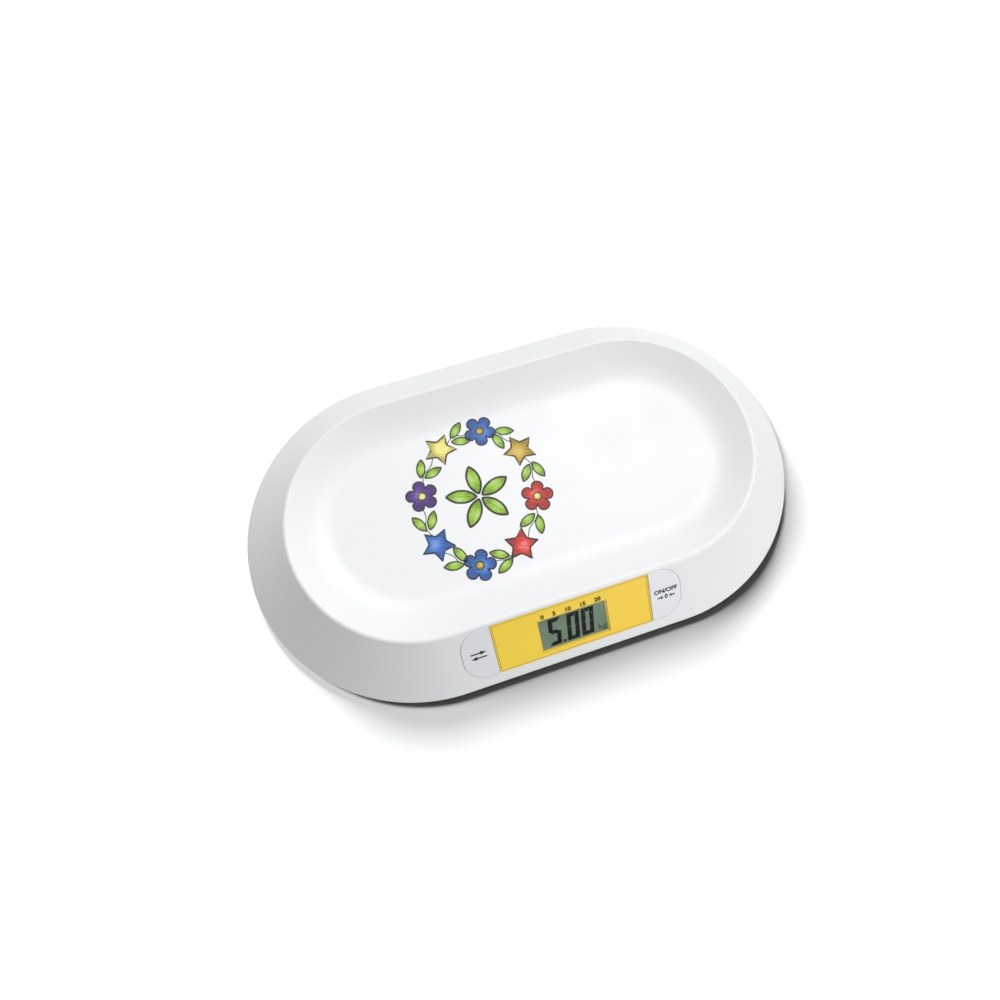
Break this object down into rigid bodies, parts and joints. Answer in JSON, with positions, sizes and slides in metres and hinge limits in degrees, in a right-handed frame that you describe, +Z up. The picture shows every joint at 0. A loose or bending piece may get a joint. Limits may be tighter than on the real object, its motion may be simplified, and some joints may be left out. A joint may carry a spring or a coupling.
{
  "type": "digital baby weighing scale",
  "caption": "Baby scale with a dished tray, a rounded rim and a sloping skirt; slanted front panel with display and push keys; weighing feet and a hinged battery door underneath.",
  "frame": {"origin": "on the floor, under the centre of the scale", "axes": "+X along the length, to the right seen from the display; +Y from the display to the back; +Z up"},
  "size_m": [0.5498, 0.33, 0.06],
  "materials": {
    "housing_white": "glossy moulded ABS",
    "base_white": "finely textured ABS",
    "bezel_yellow": "glossy printed face",
    "window_clear": "clear polished acrylic",
    "display_grey": "satin polarising film",
    "holder_white": "as moulded",
    "rubber_dark": "silicone rubber",
    "board_green": "solder mask on glass fibre",
    "key_pale": "satin moulded ABS",
    "switch_black": "glass-filled nylon",
    "screw_steel": "zinc-plated steel",
    "cell_steel": "nickel-plated steel",
    "foot_grey": "as moulded",
    "pad_rubber": "moulded rubber",
    "battery_sleeve": "plain printed sleeve on steel",
    "contact_nickel": "nickel-plated spring steel"
  },
  "bodies": {
    "housing": {"upper_cover": "housing_white", "base_pan": "base_white", "display_bezel": "bezel_yellow", "display_window": "window_clear", "display_glass": "display_grey", "display_holder": "holder_white", "contact_strips": "rubber_dark", "circuit_board": "board_green", "unit_switch": "switch_black", "power_switch": "switch_black", "board_screws": "screw_steel", "housing_screws": "screw_steel", "cell_screws": "screw_steel", "load_cell_front_left": "cell_steel", "load_cell_front_right": "cell_steel", "load_cell_back_left": "cell_steel", "load_cell_back_right": "cell_steel", "foot_front_left": "foot_grey", "foot_front_right": "foot_grey", "foot_back_left": "foot_grey", "foot_back_right": "foot_grey", "pad_front_left": "pad_rubber", "pad_front_right": "pad_rubber", "pad_back_left": "pad_rubber", "pad_back_right": "pad_rubber", "battery_1": "battery_sleeve", "battery_2": "battery_sleeve", "battery_3": "battery_sleeve", "battery_4": "battery_sleeve", "contact_plates": "contact_nickel", "contact_springs": "contact_nickel"},
    "unit_key": {"unit_key": "key_pale", "unit_plunger": "switch_black"},
    "power_key": {"power_key": "key_pale", "power_plunger": "switch_black"},
    "battery_door": {"battery_door": "base_white"}
  },
  "joints": [
    {"name": "unit_key_press", "type": "slide", "parent": "housing", "child": "unit_key", "axis": [0, 0.7475, -0.6642], "range_m": [0, 0.0008], "stiffness_N_per_m": 1500, "springref_m": -0.0008},
    {"name": "power_key_press", "type": "slide", "parent": "housing", "child": "power_key", "axis": [0, 0.7475, -0.6642], "range_m": [0, 0.0008], "stiffness_N_per_m": 1500, "springref_m": -0.0008},
    {"name": "battery_door_hinge", "type": "hinge", "parent": "housing", "child": "battery_door", "pos_m": [0, 0.01305, 0.008], "axis": [-1, 0, 0], "range_deg": [0, 90]}
  ]
}
